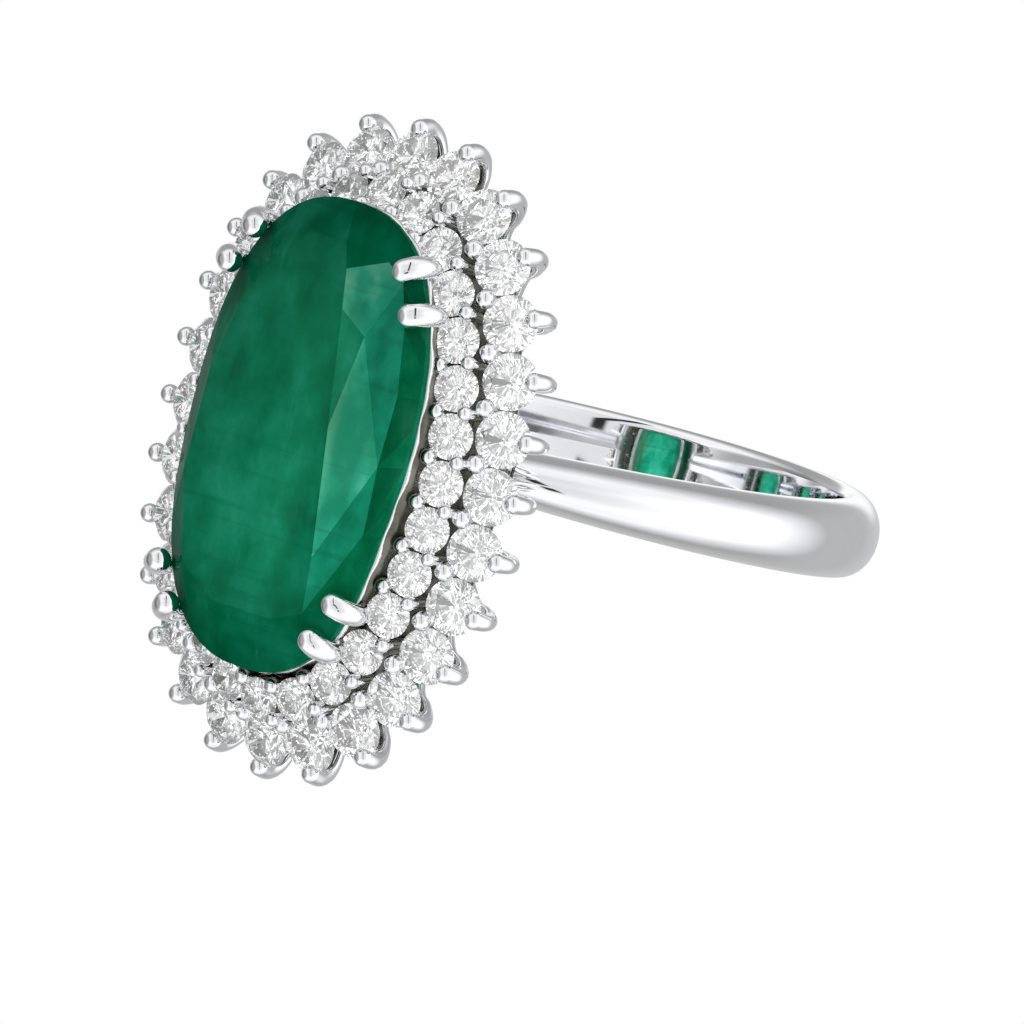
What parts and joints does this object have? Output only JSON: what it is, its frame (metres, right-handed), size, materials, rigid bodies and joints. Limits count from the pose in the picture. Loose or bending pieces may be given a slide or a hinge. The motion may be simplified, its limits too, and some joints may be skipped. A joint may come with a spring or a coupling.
{
  "type": "cocktail ring",
  "caption": "Cocktail ring with a large oval emerald in paired claws, a domed double halo of round diamonds on wire claws, and a polished domed band.",
  "frame": {"origin": "centre of the finger hole, in the middle of the band's width", "axes": "+Y along the finger, +Z from the finger hole out through the emerald's table, X across the hand"},
  "size_m": [0.0204, 0.0221, 0.0261],
  "materials": {
    "band_metal": "polished white gold",
    "halo_metal": "polished white gold",
    "basket_metal": "polished white gold",
    "diamond": "faceted and polished",
    "emerald": "faceted and polished"
  },
  "bodies": {
    "root": {"shank": "band_metal", "halo_frame": "halo_metal", "emerald_basket": "basket_metal", "emerald": "emerald", "outer_diamond_01": "diamond", "outer_diamond_02": "diamond", "outer_diamond_03": "diamond", "outer_diamond_04": "diamond", "outer_diamond_05": "diamond", "outer_diamond_06": "diamond", "outer_diamond_07": "diamond", "outer_diamond_08": "diamond", "outer_diamond_09": "diamond", "outer_diamond_10": "diamond", "outer_diamond_11": "diamond", "outer_diamond_12": "diamond", "outer_diamond_13": "diamond", "outer_diamond_14": "diamond", "outer_diamond_15": "diamond", "outer_diamond_16": "diamond", "outer_diamond_17": "diamond", "outer_diamond_18": "diamond", "outer_diamond_19": "diamond", "outer_diamond_20": "diamond", "outer_diamond_21": "diamond", "outer_diamond_22": "diamond", "outer_diamond_23": "diamond", "outer_diamond_24": "diamond", "outer_diamond_25": "diamond", "outer_diamond_26": "diamond", "outer_diamond_27": "diamond", "outer_diamond_28": "diamond", "inner_diamond_01": "diamond", "inner_diamond_02": "diamond", "inner_diamond_03": "diamond", "inner_diamond_04": "diamond", "inner_diamond_05": "diamond", "inner_diamond_06": "diamond", "inner_diamond_07": "diamond", "inner_diamond_08": "diamond", "inner_diamond_09": "diamond", "inner_diamond_10": "diamond", "inner_diamond_11": "diamond", "inner_diamond_12": "diamond", "inner_diamond_13": "diamond", "inner_diamond_14": "diamond", "inner_diamond_15": "diamond", "inner_diamond_16": "diamond", "inner_diamond_17": "diamond", "inner_diamond_18": "diamond", "inner_diamond_19": "diamond", "inner_diamond_20": "diamond", "inner_diamond_21": "diamond", "inner_diamond_22": "diamond", "inner_diamond_23": "diamond", "inner_diamond_24": "diamond", "inner_diamond_25": "diamond", "inner_diamond_26": "diamond", "inner_diamond_27": "diamond", "inner_diamond_28": "diamond"}
  },
  "joints": []
}
